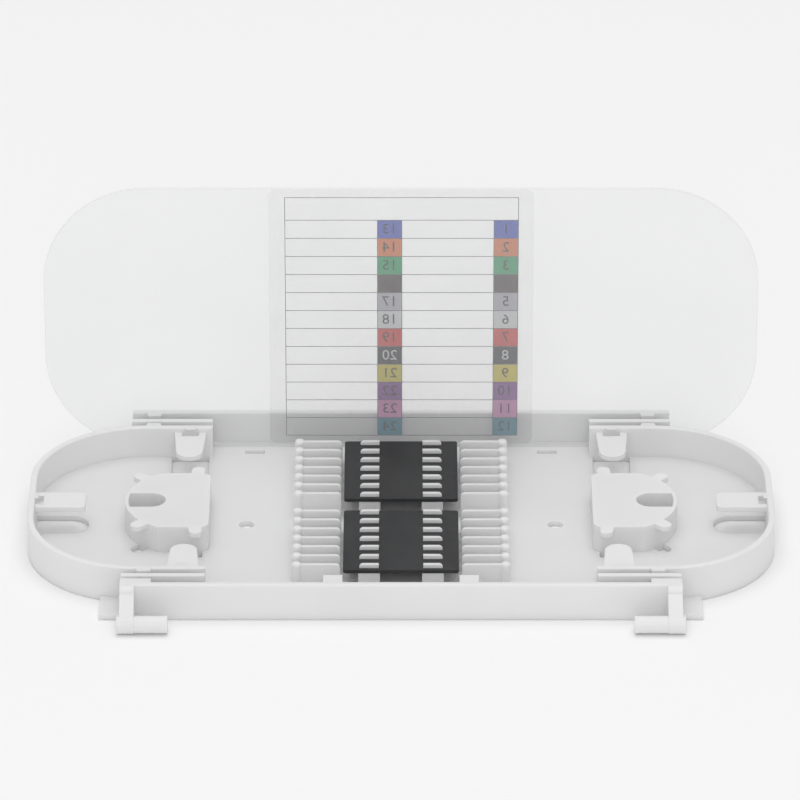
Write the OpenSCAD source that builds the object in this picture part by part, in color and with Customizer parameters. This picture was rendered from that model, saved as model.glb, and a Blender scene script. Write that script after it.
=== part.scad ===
// Fibre splice tray: a moulded tray with two rounded storage ends, a splice comb under
// two retainer plates, and a clear lid that stands in the rear cable channel.
// +X runs along the tray, +Y to the rear, +Z up. The origin is at the middle of the underside.

/* [Tray] */
// Overall length over the two rounded ends
tray_length = 172; // [164:1:190]
// Width over the walls of the rounded ends
end_width = 72; // [70:0.5:80]
// Outer corner radius of the rounded ends
end_radius = 26.5; // [22:0.5:30]
// Thickness of the wall round the ends
end_wall = 1.5; // [1.2:0.1:2]
// Thickness of the floor plate
floor_thickness = 1.3; // [1:0.1:2]
// Height of the walls and rails above the floor plate
wall_rise = 7.7; // [7.5:0.1:9]
// Width of the broken edge on top of the walls
rim_break = 0.25; // [0.1:0.05:0.4]

/* [Cable channels] */
// Distance from the tip of the tray to the outer end of the long walls
main_setback = 22.5; // [20:0.5:26]
// Distance from the tip of the tray to the inner end of the rails
rail_setback = 41.6; // [40:0.2:44]
// Thickness of the two long outer walls
long_wall = 1.6; // [1.2:0.1:2]
// Thickness of the rail between the two channels
rail_wall = 1.4; // [1.2:0.1:2]
// Width of the inner channel, for bare tube
inner_channel = 2; // [1.6:0.1:2.6]
// Width of the outer channel, for jacketed cord
outer_channel = 3; // [2.6:0.1:4]
// Length of the floor tab that leads into the channels
entry_tab_length = 4.8; // [3:0.2:7]
// Length of the keeper over each channel
keeper_length = 3.6; // [3:0.1:4.5]
// Thickness of the keepers
keeper_thickness = 0.9; // [0.6:0.1:1.2]
// Share of a channel that its keeper covers
keeper_cover = 0.55; // [0.4:0.05:0.65]
// Distance from the tip of the tray to the middle of the keepers
keeper_setback = 27.7; // [26.5:0.1:29]

/* [Lid seats] */
// Height of the lid seats above the floor plate
seat_rise = 6.5; // [6.4:0.05:6.6]
// Thickness of the tongues that carry the lid
tongue_thickness = 1.2; // [0.9:0.1:1.6]
// Length of a side tongue from the wall to its tip
side_tongue_length = 12.7; // [10:0.1:14]
// Width of a side tongue at the wall
side_tongue_root = 7.5; // [6.6:0.1:8.2]
// Radius of a side tongue's round tip
side_tongue_tip_radius = 3.1; // [2.4:0.1:3.2]
// Distance from the tip of the tray to the middle of the side tongues
side_tongue_setback = 36.4; // [35.6:0.1:37]
// Length of an end tongue from the wall to its tip
end_tongue_length = 11.6; // [9:0.1:12.5]
// Width of an end tongue
end_tongue_width = 7.6; // [6:0.1:8.4]
// Corner radius of an end tongue's tip
end_tongue_corner = 1; // [0.5:0.1:2]
// Gap between a tongue and the window under it
window_margin = 0.6; // [0.4:0.05:0.9]
// Width of the nub that holds the lid down
nub_width = 2.8; // [2:0.1:3.4]
// Reach of the nub from the wall
nub_reach = 0.8; // [0.5:0.05:1]
// Height of the nub
nub_height = 0.35; // [0.2:0.05:0.4]
// Width of the slot in a tongue's root under the nub
nub_slot_width = 3.9; // [3.6:0.1:4.4]
// Depth of the slot in a tongue's root under the nub
nub_slot_depth = 1.8; // [1.2:0.1:2.4]

/* [Hubs] */
// Distance from the tip of the tray to the centre of a hub's arc
hub_setback = 37.5; // [36.5:0.1:38.5]
// Radius of a hub's arc, the least bend of the stored fibre
hub_radius = 15.4; // [14.6:0.1:16]
// Width of a hub between its flat sides
hub_width = 27; // [25:0.5:28]
// Distance from the centre of the arc to the hub's inner face
hub_tail = 4.3; // [3.8:0.1:5]
// Corner radius at the hub's inner face
hub_corner = 2.2; // [1.5:0.1:2.6]
// Thickness of a hub's skin, which is open below
hub_skin = 1.2; // [0.9:0.1:1.5]
// Length of the slot in a hub
hub_slot_length = 8.6; // [7:0.1:9.5]
// Width of the slot in a hub
hub_slot_width = 6.8; // [5:0.1:7.5]
// Thickness of the rim between the slot and the hub's arc
hub_slot_rim = 0.9; // [0.8:0.05:1.4]
// Width of a fibre keeper ear on a hub
ear_width = 3.1; // [2.4:0.1:3.4]
// Reach of an ear past the hub's side
ear_reach = 3.3; // [2.6:0.1:3.6]
// Direction of the outer ears, from the tray's long axis
outer_ear_angle = 45; // [40:1:50]
// Direction of the inner ears, from the tray's long axis
inner_ear_angle = 95; // [90:1:100]

/* [Splice comb] */
// Distance between neighbouring dividers
splice_pitch = 4.4; // [4.2:0.05:4.5]
// Dividers in each of the two groups
group_rows = 7; // [3:1:7]
// Distance between the two groups, divider to divider
group_gap = 8.8; // [8.2:0.1:9.4]
// Thickness of the teeth and fingers
divider_thickness = 0.85; // [0.7:0.05:1.1]
// Distance between the left and right teeth
teeth_gap = 10.1; // [8:0.1:12]
// Length of a tooth
tooth_length = 4.45; // [3.5:0.05:5]
// Height of the step that a retainer plate rests on, above the floor plate
step_rise = 4.4; // [3.6:0.1:4.6]
// Width of the step round a tooth
tooth_step = 0.25; // [0.2:0.01:0.35]
// Height of a tooth above the retainer plate
tooth_proud = 0.85; // [0.5:0.05:1]
// Corner radius on the outer top edge of a tooth
tooth_corner = 0.9; // [0.5:0.05:1.2]
// Length of a finger from its inner end to the middle of its post
finger_length = 10; // [8:0.1:11]
// Height of a finger above the floor plate
finger_rise = 6.05; // [5.5:0.05:6.3]
// Corner radius on the inner top edge of a finger
finger_corner = 1.1; // [0.6:0.1:2]
// Diameter of the post at the outer end of a finger
post_diameter = 2.25; // [1.8:0.05:2.6]
// Height of a post above the floor plate
post_rise = 6.4; // [6.1:0.05:6.5]
// Radius of the rounded top edge of a post
post_round = 0.6; // [0.3:0.05:0.8]

/* [Retainer plates] */
// Width of a retainer plate
plate_width = 26.4; // [24:0.1:27]
// Thickness of a retainer plate
plate_thickness = 0.85; // [0.6:0.05:1.1]
// Corner radius of a retainer plate
plate_corner = 0.7; // [0.4:0.1:1.2]
// Distance from the last divider to the plate's edge
plate_margin = 1.45; // [1.2:0.05:1.8]
// Clearance round a tooth in its slot
slot_clearance = 0.1; // [0.06:0.01:0.14]
// Gap between a retainer plate and the fingers beside it
finger_clearance = 0.6; // [0.4:0.05:1]

/* [Floor and front wall] */
// Distance between the two fixing holes
fixing_spacing = 71.5; // [69:0.5:74]
// Diameter of a fixing hole
fixing_diameter = 3.5; // [3:0.1:4]
// Length of a tie slot beside each rail end
tie_slot_length = 4.6; // [3.5:0.1:6]
// Width of a tie slot
tie_slot_width = 1.7; // [1.2:0.1:2]
// Gap between a rail end and the tie slot
tie_slot_gap = 7.6; // [6.5:0.1:9]
// Width of a cord guide on the front wall
guide_width = 4.4; // [3:0.1:5]
// Reach of a cord guide from the front wall
guide_reach = 5.5; // [4:0.1:7]
// Distance between the inner edges of the two cord guides
guide_gap = 26.5; // [24:0.5:32]

/* [Stacking pins] */
// Diameter of a stacking pin
pin_diameter = 4; // [3:0.1:4.4]
// Length of a stacking pin clear of its arm
pin_length = 7.6; // [5:0.1:10]
// Distance from the front wall to a pin's centre line
pin_offset = 6; // [5.4:0.1:7]
// Width of the arm that carries a pin
arm_width = 3.3; // [2.6:0.1:4]
// Extra thickness of the round foot over the pin
foot_extra = 0.1; // [0.05:0.01:0.2]
// Reach of the arm's shoulder in front of the wall
arm_reach = 1.8; // [1.2:0.1:2.4]
// Extra width of the foot past the arm
foot_flange = 0.6; // [0.3:0.1:1]

/* [Lid] */
// Thickness of the lid sheet
lid_thickness = 0.8; // [0.6:0.05:0.8]
// Gap between the closed lid and the wall round it
lid_clearance = 0.9; // [0.6:0.05:1.2]
// Gap between the standing lid and the rail in front of it
stand_gap = 0.35; // [0.2:0.05:0.5]

/* [Lid label] */
// Width of the label
label_width = 62; // [50:1:70]
// Margin between the label and the long edges of the lid
label_margin = 0.5; // [0.3:0.1:2]
// Thickness of the label film
label_thickness = 0.12; // [0.08:0.01:0.2]
// Corner radius of the label
label_corner = 1.8; // [1:0.1:3]

/* [Hidden] */

$fn = 48;
through = 1;    // how far a cutting shape runs past the face it cuts
merge = 0.3;    // how far a joined shape runs into the one that carries it

end_x = tray_length / 2;
rail1_y = end_width / 2;
rail2_y = rail1_y + inner_channel;
outer_y = rail2_y + rail_wall + outer_channel;
main_half = outer_y + long_wall;
main_x = end_x - main_setback;
rail_x = end_x - rail_setback;
keeper_x = end_x - keeper_setback;

wall_height = floor_thickness + wall_rise;
seat_z = floor_thickness + seat_rise;
inner_x = end_x - end_wall;
inner_y = rail1_y - end_wall;
inner_radius = end_radius - end_wall;

side_tongue_x = end_x - side_tongue_setback;
hub_x = end_x - hub_setback;
hub_inner_x = hub_x - hub_tail;

step_z = floor_thickness + step_rise;
plate_depth = (group_rows - 1) * splice_pitch + 2 * plate_margin;
finger_x = plate_width / 2 + finger_clearance;
first_row = group_gap / 2;

pin_y = -main_half - pin_offset;
pin_z = pin_diameter / 2 + foot_extra;

lid_length = 2 * (inner_x - lid_clearance);
lid_width = 2 * (inner_y - lid_clearance);
lid_radius = inner_radius - lid_clearance;
lid_y = rail2_y + rail_wall + stand_gap;
lid_middle_z = floor_thickness + lid_width / 2;

tray_white = [0.94, 0.94, 0.94];

// ---- shared shapes ----

// A rectangle with four true round corners, centred
module rounded_rect(length, width, radius) {
  square([length, width - 2 * radius], center = true);
  square([length - 2 * radius, width], center = true);
  for (sx = [-1, 1], sy = [-1, 1])
    translate([sx * (length / 2 - radius), sy * (width / 2 - radius)]) circle(r = radius, $fn = 96);
}

// Both halves of anything drawn for the right-hand end
module both_ends() {
  children();
  mirror([1, 0, 0]) children();
}

// All four copies of anything drawn for the right-hand rear corner
module all_corners() {
  both_ends() {
    children();
    mirror([0, 1, 0]) children();
  }
}

// Stands a shape drawn in X and Z upright, from y_low towards +Y
module upright(y_low, thickness) {
  translate([0, y_low + thickness, 0]) rotate([90, 0, 0]) linear_extrude(thickness) children();
}

// Places children at the y of every divider of one group, the front group if side is -1
module divider_rows(side) {
  for (row = [0 : group_rows - 1]) translate([0, side * (first_row + row * splice_pitch), 0]) children();
}

// ---- tray ----

module floor_outline() {
  rounded_rect(tray_length - 2 * merge, end_width - 2 * merge, end_radius - merge);
  square([2 * main_x, 2 * main_half], center = true);
  all_corners()
    translate([main_x - merge, rail1_y - end_wall])
      square([entry_tab_length + merge, main_half - rail1_y + end_wall]);
}

// The section of every wall and rail between two faces, with a broken top edge
module wall_section(low, high) {
  polygon([
    [low, 0],
    [high, 0],
    [high, wall_height - rim_break],
    [high - rim_break, wall_height],
    [low + rim_break, wall_height],
    [low, wall_height - rim_break]
  ]);
}

// A straight wall along X, from x_low to x_high and from y_low to y_high
module straight_wall(x_low, x_high, y_low, y_high) {
  translate([x_low, 0, 0]) rotate([90, 0, 90]) linear_extrude(x_high - x_low) wall_section(y_low, y_high);
}

// The wall round both ends; it stops where the rails stop, so the middle of the tray is open
module end_walls() {
  arc_x = end_x - end_radius;
  arc_y = rail1_y - end_radius;
  all_corners() {
    translate([arc_x, arc_y, 0]) rotate_extrude(angle = 90, $fn = 96) wall_section(inner_radius, end_radius);
    straight_wall(rail_x, arc_x, inner_y, rail1_y);
  }
  both_ends() upright(-arc_y, 2 * arc_y) wall_section(inner_x, end_x);
}

module channel_walls() {
  all_corners() {
    straight_wall(0, main_x, outer_y, main_half);
    straight_wall(rail_x, main_x, rail2_y, rail2_y + rail_wall);
  }
}

// A small keeper over a channel: its outline tapers away from the wall at y_root
module keeper(y_root, reach) {
  taper = 0.3;
  translate([keeper_x, y_root, wall_height - keeper_thickness])
    linear_extrude(keeper_thickness)
      polygon([
        [-keeper_length / 2, -sign(reach) * merge],
        [keeper_length / 2, -sign(reach) * merge],
        [keeper_length / 2, 0],
        [keeper_length / 2 - taper, reach],
        [-keeper_length / 2 + taper, reach],
        [-keeper_length / 2, 0]
      ]);
}

module keepers() {
  all_corners() {
    keeper(rail1_y, keeper_cover * inner_channel);
    keeper(outer_y, -keeper_cover * outer_channel);
  }
}

module side_tongue_outline() {
  tip_y = inner_y - side_tongue_length + side_tongue_tip_radius;
  translate([side_tongue_x, tip_y]) circle(r = side_tongue_tip_radius);
  translate([side_tongue_x, 0])
    polygon([
      [-side_tongue_tip_radius, tip_y],
      [side_tongue_tip_radius, tip_y],
      [side_tongue_root / 2, inner_y],
      [side_tongue_root / 2, inner_y + merge],
      [-side_tongue_root / 2, inner_y + merge],
      [-side_tongue_root / 2, inner_y]
    ]);
}

module end_tongue_outline() {
  tip_x = inner_x - end_tongue_length;
  translate([tip_x + end_tongue_corner, -end_tongue_width / 2])
    square([end_tongue_length - end_tongue_corner + merge, end_tongue_width]);
  translate([tip_x, -end_tongue_width / 2 + end_tongue_corner])
    square([end_tongue_corner + merge, end_tongue_width - 2 * end_tongue_corner]);
  for (side = [-1, 1])
    translate([tip_x + end_tongue_corner, side * (end_tongue_width / 2 - end_tongue_corner)])
      circle(r = end_tongue_corner);
}

module nub_slot_outlines() {
  translate([side_tongue_x - nub_slot_width / 2, inner_y - nub_slot_depth])
    square([nub_slot_width, nub_slot_depth]);
}

module lid_tongues() {
  translate([0, 0, seat_z - tongue_thickness]) linear_extrude(tongue_thickness) {
    all_corners() difference() {
      side_tongue_outline();
      nub_slot_outlines();
    }
    both_ends() difference() {
      end_tongue_outline();
      translate([inner_x - nub_slot_depth, -nub_slot_width / 2]) square([nub_slot_depth, nub_slot_width]);
    }
  }
}

// A nub in plan: it tapers from the wall at the origin towards -Y
module nub() {
  taper = 0.25;
  translate([0, 0, wall_height - nub_height]) linear_extrude(nub_height)
    polygon([
      [-nub_width / 2, merge],
      [nub_width / 2, merge],
      [nub_width / 2, 0],
      [nub_width / 2 - taper, -nub_reach],
      [-nub_width / 2 + taper, -nub_reach],
      [-nub_width / 2, 0]
    ]);
}

module lid_nubs() {
  all_corners() translate([side_tongue_x, inner_y, 0]) nub();
  both_ends() translate([inner_x, 0, 0]) rotate([0, 0, -90]) nub();
}

// The windows in the floor that the mould needs under the tongues
module tongue_windows() {
  window_depth = side_tongue_length + window_margin;
  window_width = side_tongue_root + 2 * window_margin;
  window_half = end_tongue_width / 2 + window_margin;
  window_tip = inner_x - end_tongue_length - window_margin;
  all_corners()
    translate([side_tongue_x - window_width / 2, inner_y - window_depth])
      square([window_width, window_depth]);
  both_ends() {
    translate([window_tip + window_half, -window_half])
      square([inner_x - window_tip - window_half, 2 * window_half]);
    translate([window_tip + window_half, 0]) circle(r = window_half);
  }
}

// A hub in plan, drawn inset all round by the given amount
module hub_outline(inset) {
  inner = hub_inner_x + inset;
  half = hub_width / 2 - inset;
  corner = hub_corner - min(inset, hub_corner / 2);
  intersection() {
    translate([hub_x, 0]) circle(r = hub_radius - inset, $fn = 96);
    union() {
      translate([inner + corner, -half]) square([2 * hub_radius, 2 * half]);
      translate([inner, -half + corner]) square([2 * hub_radius, 2 * (half - corner)]);
      for (side = [-1, 1]) translate([inner + corner, side * (half - corner)]) circle(r = corner);
    }
  }
}

// One ear in plan, with a round tip; edge is the distance from the arc's centre to the hub's side
module ear_outline(angle, edge) {
  root = edge - ear_width;
  tip = edge + ear_reach - ear_width / 2;
  translate([hub_x, 0]) rotate([0, 0, angle]) {
    translate([root, -ear_width / 2]) square([tip - root, ear_width]);
    translate([tip, 0]) circle(d = ear_width);
  }
}

module ear_outlines() {
  for (side = [-1, 1]) {
    ear_outline(side * outer_ear_angle, hub_radius);
    ear_outline(side * inner_ear_angle, hub_width / 2);
  }
}

// The slot in a hub, drawn larger all round by the given amount; its outer end follows the arc
module hub_slot_outline(growth) {
  half = hub_slot_width / 2 + growth;
  outer_x = hub_x + hub_radius - hub_slot_rim;
  round_x = outer_x - hub_slot_length + half - growth;
  intersection() {
    translate([hub_x, 0]) circle(r = hub_radius - hub_slot_rim + growth, $fn = 96);
    union() {
      translate([round_x, 0]) circle(r = half);
      translate([round_x, -half]) square([hub_slot_length, 2 * half]);
    }
  }
}

module hub() {
  translate([0, 0, seat_z - hub_skin]) linear_extrude(hub_skin) difference() {
    hub_outline(0);
    hub_slot_outline(0);
  }
  linear_extrude(seat_z - hub_skin) difference() {
    hub_outline(0);
    difference() {
      hub_outline(hub_skin);
      hub_slot_outline(hub_skin);
    }
    hub_slot_outline(0);
  }
  translate([0, 0, seat_z - tongue_thickness]) linear_extrude(tongue_thickness) difference() {
    ear_outlines();
    hub_outline(merge);
  }
}

module floor_openings() {
  tongue_windows();
  both_ends() {
    hub_outline(merge);
    difference() {
      ear_outlines();
      hub_outline(0);
    }
    translate([fixing_spacing / 2, 0]) circle(d = fixing_diameter);
  }
  all_corners()
    translate([rail_x - tie_slot_gap - tie_slot_length, rail1_y + (inner_channel - tie_slot_width) / 2])
      square([tie_slot_length, tie_slot_width]);
}

// One finger: a round-topped post at its outer end and a thin fin towards the plates
module finger() {
  post_x = finger_x + finger_length;
  fin_top = floor_thickness + finger_rise;
  post_top = floor_thickness + post_rise;
  post_r = post_diameter / 2;
  post_cut = post_round * (1 - cos(45));
  upright(-divider_thickness / 2, divider_thickness) {
    translate([finger_x + finger_corner, floor_thickness - merge])
      square([finger_length - finger_corner, finger_rise + merge]);
    translate([finger_x, floor_thickness - merge])
      square([finger_corner + merge, finger_rise + merge - finger_corner]);
    translate([finger_x + finger_corner, fin_top - finger_corner]) circle(r = finger_corner);
  }
  translate([post_x, 0, 0]) rotate_extrude()
    polygon([
      [0, floor_thickness - merge],
      [post_r, floor_thickness - merge],
      [post_r, post_top - post_round],
      [post_r - post_cut, post_top - post_cut],
      [post_r - post_round, post_top],
      [0, post_top]
    ]);
}

// One tooth: a stepped base that carries the plate, and a blade through the plate's slot
module tooth() {
  base_rise = step_rise + merge;
  blade_rise = plate_thickness + tooth_proud;
  inner = teeth_gap / 2;
  outer = inner + tooth_length;
  translate([inner - tooth_step, -divider_thickness / 2 - tooth_step, floor_thickness - merge])
    cube([tooth_length + 2 * tooth_step, divider_thickness + 2 * tooth_step, base_rise]);
  upright(-divider_thickness / 2, divider_thickness) {
    translate([inner, step_z - merge]) square([tooth_length - tooth_corner, blade_rise + merge]);
    translate([inner, step_z - merge]) square([tooth_length, blade_rise + merge - tooth_corner]);
    translate([outer - tooth_corner, step_z + blade_rise - tooth_corner]) circle(r = tooth_corner);
  }
}

module splice_comb() {
  both_ends() for (side = [-1, 1]) divider_rows(side) {
    finger();
    tooth();
  }
}

// The two thin guides that hold cords down along the front wall
module cord_guides() {
  both_ends()
    translate([guide_gap / 2, -outer_y - merge, seat_z - tongue_thickness])
      cube([guide_width, guide_reach + merge, tongue_thickness]);
}

// The side view of a pin's arm, in Y and Z
module arm_profile() {
  shoulder_y = -main_half - arm_reach;
  shoulder_r = 0.75 * arm_reach;
  foot_r = pin_diameter / 2 + foot_extra;
  slope_end = 40;    // where the sloping front meets the round foot, in degrees above the level
  translate([shoulder_y + shoulder_r, wall_height - shoulder_r]) circle(r = shoulder_r);
  translate([pin_y, pin_z]) circle(r = foot_r);
  polygon([
    [-outer_y, 0],
    [-outer_y, wall_height],
    [shoulder_y + shoulder_r, wall_height],
    [shoulder_y, wall_height - shoulder_r],
    [pin_y - foot_r * cos(slope_end), pin_z + foot_r * sin(slope_end)],
    [pin_y, pin_z],
    [pin_y, 0]
  ]);
}

module stacking_pins() {
  arm_x = main_x - arm_width;
  cover_x = keeper_x - keeper_length / 2;
  both_ends() {
    translate([arm_x, 0, 0]) rotate([90, 0, 90]) linear_extrude(arm_width) arm_profile();
    translate([arm_x, pin_y, pin_z]) rotate([0, 90, 0])
      cylinder(d = pin_diameter + 2 * foot_extra, h = arm_width + foot_flange);
    translate([arm_x - pin_length, pin_y, pin_z]) rotate([0, 90, 0])
      cylinder(d = pin_diameter, h = pin_length + merge);
    translate([cover_x, -outer_y - merge, wall_height - keeper_thickness])
      cube([main_x - cover_x, merge + keeper_cover * outer_channel, keeper_thickness]);
  }
}

module tray() color(tray_white) {
  difference() {
    linear_extrude(floor_thickness) floor_outline();
    translate([0, 0, -through]) linear_extrude(floor_thickness + 2 * through) floor_openings();
  }
  end_walls();
  channel_walls();
  keepers();
  lid_tongues();
  lid_nubs();
  both_ends() hub();
  splice_comb();
  cord_guides();
  stacking_pins();
}

// ---- pieces on the tray ----

// One retainer plate over the group of teeth on the given side, drawn with its underside on the steps
module retainer(side) color([0.2, 0.2, 0.21]) {
  slot_length = tooth_length + 2 * slot_clearance;
  slot_width = divider_thickness + 2 * slot_clearance;
  difference() {
    translate([0, side * (first_row - plate_margin + plate_depth / 2), step_z])
      linear_extrude(plate_thickness) rounded_rect(plate_width, plate_depth, plate_corner);
    both_ends() divider_rows(side)
      translate([teeth_gap / 2 - slot_clearance, -slot_width / 2, step_z - through])
        cube([slot_length, slot_width, plate_thickness + 2 * through]);
  }
}

module rear_retainer() retainer(1);
module front_retainer() retainer(-1);

// The lid, standing on its long edge on the floor of the rear outer channel
module lid() color([0.93, 0.94, 0.95, 0.5]) {
  translate([0, 0, lid_middle_z]) upright(lid_y, lid_thickness)
    rounded_rect(lid_length, lid_width, lid_radius);
}

// The label film on the lid's outer face, which is the rear one as the lid stands
module lid_label() color([0.97, 0.97, 0.97, 0.8]) {
  translate([0, 0, lid_middle_z]) upright(lid_y + lid_thickness, label_thickness)
    rounded_rect(label_width, lid_width - 2 * label_margin, label_corner);
}

tray();
rear_retainer();
front_retainer();
lid();
lid_label();
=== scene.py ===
import math

import bpy
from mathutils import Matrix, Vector


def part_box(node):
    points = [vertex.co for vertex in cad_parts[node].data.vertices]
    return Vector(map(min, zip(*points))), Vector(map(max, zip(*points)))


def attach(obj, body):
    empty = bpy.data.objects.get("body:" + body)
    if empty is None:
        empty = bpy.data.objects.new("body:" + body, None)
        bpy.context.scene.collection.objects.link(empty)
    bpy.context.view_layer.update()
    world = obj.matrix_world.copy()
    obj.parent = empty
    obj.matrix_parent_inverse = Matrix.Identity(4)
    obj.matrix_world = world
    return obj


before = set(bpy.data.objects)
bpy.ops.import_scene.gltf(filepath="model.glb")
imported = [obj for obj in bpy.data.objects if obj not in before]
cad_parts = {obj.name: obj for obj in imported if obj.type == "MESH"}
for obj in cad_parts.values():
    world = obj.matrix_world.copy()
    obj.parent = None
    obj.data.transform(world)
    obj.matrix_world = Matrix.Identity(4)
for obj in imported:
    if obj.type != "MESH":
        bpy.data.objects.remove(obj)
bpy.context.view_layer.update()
print("stage: frame loaded")

mm = 0.001


# ---- shader building ----

class Wire:
    # one output socket of a shader tree, with arithmetic
    def __init__(self, tree, socket):
        self.tree = tree
        self.socket = socket

    def math(self, operation, first, second):
        return self.tree.node("ShaderNodeMath", {"operation": operation}, {0: first, 1: second})

    def __add__(self, other):
        return self.math("ADD", self, other)

    def __radd__(self, other):
        return self.math("ADD", other, self)

    def __sub__(self, other):
        return self.math("SUBTRACT", self, other)

    def __rsub__(self, other):
        return self.math("SUBTRACT", other, self)

    def __mul__(self, other):
        return self.math("MULTIPLY", self, other)

    def __rmul__(self, other):
        return self.math("MULTIPLY", other, self)

    def ramp(self, low, high, toLow=0.0, toHigh=1.0):
        return self.tree.node("ShaderNodeMapRange", {"clamp": True},
                              {"Value": self, "From Min": low, "From Max": high,
                               "To Min": toLow, "To Max": toHigh})


class Tree:
    # a node tree that is emptied and built again
    def __init__(self, owner):
        owner.use_nodes = True
        self.nodes = owner.node_tree.nodes
        self.links = owner.node_tree.links
        self.nodes.clear()

    def node(self, kind, settings=None, values=None, out=0):
        # settings come first, because they can change which sockets there are
        made = self.nodes.new(kind)
        for key, value in (settings or {}).items():
            setattr(made, key, value)
        for key, value in (values or {}).items():
            if isinstance(value, Wire):
                self.links.new(value.socket, made.inputs[key])
            else:
                made.inputs[key].default_value = value
        return Wire(self, made.outputs[out]) if made.outputs else None


class Paint(Tree):
    # a material under construction
    def __init__(self, name):
        self.material = bpy.data.materials.new(name)
        super().__init__(self.material)
        self.place = self.node("ShaderNodeTexCoord", out="Object")

    def height(self):
        return self.node("ShaderNodeSeparateXYZ", None, {0: self.place}, out="Z")

    def noise(self, size, detail=2.0, roughness=0.5, stretch=None):
        place = self.place
        if stretch:
            place = self.node("ShaderNodeVectorMath", {"operation": "MULTIPLY"},
                              {0: place, 1: stretch})
        return self.node("ShaderNodeTexNoise", None,
                         {"Vector": place, "Scale": 1 / size, "Detail": detail,
                          "Roughness": roughness})

    def mix(self, factor, first, second):
        return self.node("ShaderNodeMix", {"data_type": "RGBA"},
                         {0: factor, 6: first, 7: second}, out=2)

    def edge(self, radius):
        # the softened normal, and 0 on flat faces rising to 1 at sharp edges
        soft = self.node("ShaderNodeBevel", {"samples": 6}, {"Radius": radius})
        true = self.node("ShaderNodeNewGeometry", out="Normal")
        along = self.node("ShaderNodeVectorMath", {"operation": "DOT_PRODUCT"},
                          {0: soft, 1: true}, out="Value")
        return soft, (1 - along).ramp(0.0, 0.3)

    def bump(self, height, distance, strength, normal=None):
        values = {"Height": height, "Distance": distance, "Strength": strength}
        if normal is not None:
            values["Normal"] = normal
        return self.node("ShaderNodeBump", None, values)

    def surface(self, **values):
        sockets = {key.replace("_", " "): value for key, value in values.items()}
        shader = self.node("ShaderNodeBsdfPrincipled", None, sockets)
        self.node("ShaderNodeOutputMaterial", None, {"Surface": shader})
        return self.material


def grey(level):
    return (level, level, level, 1)


def setMaterial(thing, material):
    thing.data.materials.clear()
    thing.data.materials.append(material)


def dress(node, material):
    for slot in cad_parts[node].material_slots:
        slot.material = material


def addObject(name, data):
    thing = bpy.data.objects.new(name, data)
    bpy.context.collection.objects.link(thing)
    return thing


def addMesh(name, vertices, faces, material):
    mesh = bpy.data.meshes.new(name)
    mesh.from_pydata(vertices, [], faces)
    mesh.update()
    piece = addObject(name, mesh)
    setMaterial(piece, material)
    return piece


# ---- materials of the frame's nodes ----

trayLook = {
    "pale": 0.80,           # base colour on flat faces
    "dull": 0.775,          # where the melt flowed thinner
    "edgeHighlight": 0.88,       # painted highlight: rims and edges painted lighter
    "edgeShare": 0.8,
    "flowSize": 38 * mm,
    "sparkSize": 0.22 * mm,
    "sparkDepth": 0.006 * mm,
    "sparkStrength": 0.35,
    "softEdge": 0.22 * mm,
    "roughness": (0.40, 0.50),
    "edgePolish": 0.08,
    "glow": 0.35,           # share of light that scatters inside the thin walls
    "glowDepth": 3 * mm,
}


def makeTrayPlastic(look):
    paint = Paint("tray_plastic")
    flow = paint.noise(look["flowSize"], 3.0)
    grain = paint.noise(look["sparkSize"], 2.0, 0.6)
    soft, edge = paint.edge(look["softEdge"])
    base = paint.mix(flow.ramp(0.35, 0.65), grey(look["dull"]), grey(look["pale"]))
    # painted highlight: base colour lightened along rims and edges by the bevel mask
    base = paint.mix(edge * look["edgeShare"], base, grey(look["edgeHighlight"]))
    rough = flow.ramp(0.3, 0.7, *look["roughness"]) - edge * look["edgePolish"]
    normal = paint.bump(grain, look["sparkDepth"], look["sparkStrength"], soft)
    return paint.surface(Base_Color=base, Roughness=rough, Normal=normal, IOR=1.5,
                         Subsurface_Weight=look["glow"], Subsurface_Scale=look["glowDepth"],
                         Subsurface_Radius=(1.0, 1.0, 1.0))


plateLook = {
    "dark": (0.020, 0.021, 0.023, 1),
    "dusty": (0.034, 0.035, 0.037, 1),
    "edge": (0.070, 0.071, 0.074, 1),
    "edgeShare": 0.6,
    "softEdge": 0.12 * mm,
    "hazeSize": 9 * mm,
    "grainSize": 0.3 * mm,
    "grainDepth": 0.008 * mm,
    "grainStrength": 0.4,
    "brushSize": 2.5 * mm,
    "brushStretch": (0.25, 3.0, 1.0),
    "brushGain": 0.1,
    "roughness": (0.46, 0.58),
}


def makePlatePlastic(look):
    paint = Paint("plate_plastic")
    haze = paint.noise(look["hazeSize"], 3.0)
    grain = paint.noise(look["grainSize"], 3.0, 0.6)
    brush = paint.noise(look["brushSize"], 3.0, 0.6, look["brushStretch"])
    soft, edge = paint.edge(look["softEdge"])
    base = paint.mix((haze * 0.6 + brush * 0.4).ramp(0.35, 0.7), look["dark"], look["dusty"])
    base = paint.mix(edge * look["edgeShare"], base, look["edge"])
    rough = grain.ramp(0.3, 0.7, *look["roughness"]) + (brush - 0.5) * look["brushGain"]
    normal = paint.bump(grain, look["grainDepth"], look["grainStrength"], soft)
    return paint.surface(Base_Color=base, Roughness=rough, Normal=normal, IOR=1.4)


lidLook = {
    "tone": (0.82, 0.83, 0.84, 1),
    # painted shade: darker grey for the sheet's edges
    "rimShadeTone": (0.60, 0.61, 0.63, 1),
    "alpha": (0.13, 0.17),
    "rimAlpha": 0.3,        # added at the edges
    "roughness": (0.32, 0.42),
    "frostSize": 0.35 * mm,
    "waveSize": 30 * mm,
    "waveDepth": 0.02 * mm,
    "waveStrength": 0.5,
    "softEdge": 0.2 * mm,
}


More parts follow.
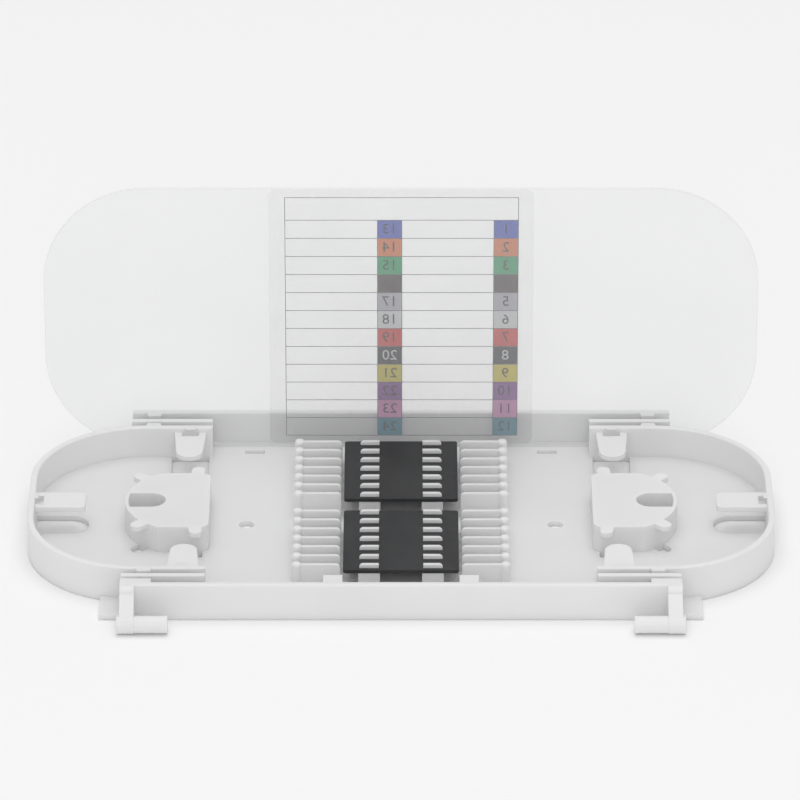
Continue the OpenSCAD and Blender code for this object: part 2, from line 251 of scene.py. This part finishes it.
def makeLidSheet(look):
    paint = Paint("lid_sheet")
    wave = paint.noise(look["waveSize"], 1.0)
    frost = paint.noise(look["frostSize"], 2.0)
    soft, edge = paint.edge(look["softEdge"])
    # painted shade: the sheet's edges are painted darker, and on the next line more opaque
    base = paint.mix(edge, look["tone"], look["rimShadeTone"])
    alpha = wave.ramp(0.3, 0.7, *look["alpha"]) + edge * look["rimAlpha"]
    rough = frost.ramp(0.3, 0.7, *look["roughness"])
    normal = paint.bump(wave * 0.9 + frost * 0.1, look["waveDepth"], look["waveStrength"], soft)
    return paint.surface(Base_Color=base, Roughness=rough, Alpha=alpha, Normal=normal, IOR=1.45)


filmLook = {
    "tone": (0.62, 0.62, 0.63),
    "cloudGain": 1.03,
    "alpha": (0.08, 0.10),
    "roughness": (0.38, 0.48),
    "cloudSize": 14 * mm,
    "frostSize": 0.25 * mm,
    "frostDepth": 0.004 * mm,
    "frostStrength": 0.3,
}


def makeFilm(look):
    paint = Paint("label_film")
    cloud = paint.noise(look["cloudSize"], 2.0)
    frost = paint.noise(look["frostSize"], 2.0)
    tone = look["tone"]
    light = tuple(level * look["cloudGain"] for level in tone)
    base = paint.mix(cloud.ramp(0.3, 0.7), (*tone, 1), (*light, 1))
    return paint.surface(Base_Color=base, Roughness=frost.ramp(0.3, 0.7, *look["roughness"]),
                         Alpha=cloud.ramp(0.3, 0.7, *look["alpha"]), IOR=1.45,
                         Normal=paint.bump(frost, look["frostDepth"], look["frostStrength"]))


trayPlastic = makeTrayPlastic(trayLook)
platePlastic = makePlatePlastic(plateLook)
dress("tray", trayPlastic)
dress("rear_retainer", platePlastic)
dress("front_retainer", platePlastic)
dress("lid", makeLidSheet(lidLook))
dress("lid_label", makeFilm(filmLook))
print("stage: frame materials made")


# ---- print on the label ----
# The print is on the film's rear face, so it reads the right way round from the rear.

printLook = {
    "ink": (0.006 * mm, 0.020 * mm),        # faces of the ink, back from the film's rear face
    "rule": (0.004 * mm, 0.022 * mm),
    "digit": (0.002 * mm, 0.024 * mm),      # right through, so it shows from both sides
    "line": 0.16 * mm,
    "sideMargin": (3.9 * mm, 3.6 * mm),     # film's edge to the ruled frame, at low x and high x
    "endMargin": 2.1 * mm,                  # the same at the top and the bottom
    "header": 5.8 * mm,
    "codeWidth": 5.7 * mm,
    "blankWidth": 21.6 * mm,                # the blank column at low x
    "digitSize": 2.65 * mm * 1.37,          # a font's size is 1.37 times its numerals' height
    "codes": {                              # the usual order of fibre colours
        "blue": (0.075, 0.13, 0.68),
        "orange": (1.0, 0.27, 0.06),
        "green": (0.0, 0.48, 0.18),
        "brown": (0.085, 0.055, 0.045),
        "slate": (0.66, 0.65, 0.72),
        "white": (0.95, 0.95, 0.98),
        "red": (0.95, 0.07, 0.05),
        "black": (0.030, 0.028, 0.036),
        "yellow": (0.95, 0.80, 0.08),
        "violet": (0.36, 0.10, 0.46),
        "pink": (0.86, 0.34, 0.66),
        "aqua": (0.0, 0.28, 0.40),
    },
    "lineTone": (0.16, 0.16, 0.17),
    "darkTone": (0.02, 0.02, 0.022),        # numerals
    "lightTone": (0.9, 0.9, 0.9),           # numerals on black
}

inkLook = {
    "cloudSize": 3 * mm,
    "dotSize": 0.18 * mm,
    "dotDepth": 0.002 * mm,
    "dotStrength": 0.3,
    "paleGain": 1.08,
    "paleLift": 0.004,
    "roughness": (0.40, 0.50),
}


def makeInk(name, colour):
    look = inkLook
    paint = Paint(name)
    cloud = paint.noise(look["cloudSize"], 2.0)
    dots = paint.noise(look["dotSize"], 2.0)
    pale = tuple(min(1.0, level * look["paleGain"] + look["paleLift"]) for level in colour)
    base = paint.mix((cloud * 0.5 + dots * 0.5).ramp(0.35, 0.65), (*colour, 1), (*pale, 1))
    return paint.surface(Base_Color=base, Roughness=dots.ramp(0.3, 0.7, *look["roughness"]),
                         Normal=paint.bump(dots, look["dotDepth"], look["dotStrength"]))


def makePlates(name, rectangles, low, high, material):
    # thin closed plates in X and Z, between the planes y = low and y = high
    vertices, faces = [], []
    loops = ((0, 1, 2, 3), (7, 6, 5, 4), (0, 4, 5, 1), (1, 5, 6, 2), (2, 6, 7, 3), (3, 7, 4, 0))
    for x0, x1, z0, z1 in rectangles:
        start = len(vertices)
        for y in (low, high):
            vertices += [(x0, y, z0), (x1, y, z0), (x1, y, z1), (x0, y, z1)]
        faces += [tuple(start + corner for corner in loop) for loop in loops]
    return addMesh(name, vertices, faces, material)


def makeDigits(name, entries, size, low, high, material):
    # numerals as thin raised ink, turned to read from the rear and joined to one mesh
    holders = []
    for text, x, z in entries:
        curve = bpy.data.curves.new(name, "FONT")
        curve.body = text
        curve.align_x = "CENTER"
        curve.align_y = "CENTER"
        curve.size = size
        curve.extrude = (high - low) / 2
        curve.resolution_u = 4
        holder = addObject(name, curve)
        holder.location = (x, (low + high) / 2, z)
        holder.rotation_euler = (math.pi / 2, 0, math.pi)
        holders.append(holder)
    bpy.context.view_layer.update()
    depsgraph = bpy.context.evaluated_depsgraph_get()
    vertices, faces = [], []
    for holder in holders:
        mesh = bpy.data.meshes.new_from_object(holder.evaluated_get(depsgraph))
        start = len(vertices)
        vertices += [tuple(holder.matrix_world @ vertex.co) for vertex in mesh.vertices]
        faces += [tuple(start + corner for corner in face.vertices) for face in mesh.polygons]
        bpy.data.meshes.remove(mesh)
    for holder in holders:
        curve = holder.data
        bpy.data.objects.remove(holder)
        bpy.data.curves.remove(curve)
    return addMesh(name, vertices, faces, material)


def makePrint(look):
    filmLow, filmHigh = (Vector(corner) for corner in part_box("lid_label"))
    inkLow, inkHigh = (filmHigh.y + depth for depth in look["ink"])
    ruleLow, ruleHigh = (filmHigh.y + depth for depth in look["rule"])
    digitLow, digitHigh = (filmHigh.y + depth for depth in look["digit"])
    left = filmLow.x + look["sideMargin"][0]
    right = filmHigh.x - look["sideMargin"][1]
    top = filmHigh.z - look["endMargin"]
    bottom = filmLow.z + look["endMargin"]
    rows = len(look["codes"])
    headerLow = top - look["header"]
    pitch = (headerLow - bottom) / rows
    half = look["line"] / 2
    second = left + look["blankWidth"]
    columns = [(right - look["codeWidth"], right, 1),       # low x, high x, first number
               (second, second + look["codeWidth"], rows + 1)]
    made = []
    dark, light = [], []
    for row, (name, colour) in enumerate(look["codes"].items()):
        high = headerLow - row * pitch
        cells = [(x0, x1, high - pitch, high) for x0, x1, first in columns]
        made.append(makePlates("code_" + name, cells, inkLow, inkHigh, makeInk("ink_" + name, colour)))
        for x0, x1, first in columns:
            entry = (str(first + row), (x0 + x1) / 2, high - pitch / 2)
            (light if name == "black" else dark).append(entry)
    lines = [(left - half, right + half, top - half, top + half)]
    for row in range(rows + 1):
        z = headerLow - row * pitch
        lines.append((left - half, right + half, z - half, z + half))
    for x in (left, right):
        lines.append((x - half, x + half, bottom - half, top + half))
    for x0, x1, first in columns:
        lines += [(x - half, x + half, bottom, headerLow) for x in (x0, x1)]
    made.append(makePlates("label_lines", lines, ruleLow, ruleHigh,
                           makeInk("ink_line", look["lineTone"])))
    for name, entries in (("dark", dark), ("light", light)):
        ink = makeInk("ink_numeral_" + name, look[name + "Tone"])
        made.append(makeDigits("numerals_" + name, entries, look["digitSize"], digitLow, digitHigh, ink))
    for piece in made:
        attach(piece, "tray_body")


makePrint(printLook)
print("stage: label print made")


# ---- floor, light and camera ----

floorLook = {
    "reach": 8.0,           # half the side, in metres
    "drop": 0.02 * mm,
    "tone": 0.95,
    "roughness": 0.9,
}


def makeFloor(look):
    reach = look["reach"]
    corners = [(-reach, -reach, 0), (reach, -reach, 0), (reach, reach, 0), (-reach, reach, 0)]
    material = Paint("studio_floor").surface(Base_Color=grey(look["tone"]), Specular_IOR_Level=0.0,
                                             Roughness=look["roughness"])
    floor = addMesh("studio_floor", corners, [(0, 1, 2, 3)], material)
    floor.location.z = -look["drop"]


lightLook = {
    "sky": 0.62,            # strength of the even white surround
    "lamps": {              # power in watts, width in metres, place
        "overhead": (15.5, 2.2, (0.0, 0.15, 2.1)),
        "front_fill": (3.4, 0.7, (0.0, -1.34, 0.70)),
    },
}


def makeLight(look):
    world = bpy.data.worlds.new("studio")
    tree = Tree(world)
    seen = tree.node("ShaderNodeLightPath", out="Is Camera Ray")
    sky, white = (tree.node("ShaderNodeBackground", None, {"Color": grey(1.0), "Strength": strength})
                  for strength in (look["sky"], 1.0))
    choice = tree.node("ShaderNodeMixShader", None, {0: seen, 1: sky, 2: white})
    tree.node("ShaderNodeOutputWorld", None, {"Surface": choice})
    bpy.context.scene.world = world
    for name, (power, width, place) in look["lamps"].items():
        data = bpy.data.lights.new(name, "AREA")
        data.shape = "DISK"
        data.size = width
        data.energy = power
        lamp = addObject(name, data)
        lamp.location = place
        lamp.rotation_euler = (-lamp.location).to_track_quat("-Z", "Y").to_euler()


cameraLook = {
    "lens": 309.1,
    "sensor": 36.0,
    "clip": (0.1, 50.0),
    "distance": 1577.0 * mm,
    "elevation": 26.615,    # degrees above the horizon
    "aim": (-0.23 * mm, 0.0, 33.6 * mm),
}


def makeCamera(look):
    data = bpy.data.cameras.new("camera")
    data.lens = look["lens"]
    data.sensor_width = look["sensor"]
    data.clip_start, data.clip_end = look["clip"]
    camera = addObject("camera", data)
    angle = math.radians(look["elevation"])
    back = Vector((0, -math.cos(angle), math.sin(angle)))
    camera.location = Vector(look["aim"]) + back * look["distance"]
    camera.rotation_euler = (-back).to_track_quat("-Z", "Y").to_euler()
    bpy.context.scene.camera = camera


makeFloor(floorLook)
makeLight(lightLook)
makeCamera(cameraLook)
bpy.context.scene.view_settings.view_transform = "Standard"
print("stage: studio made")
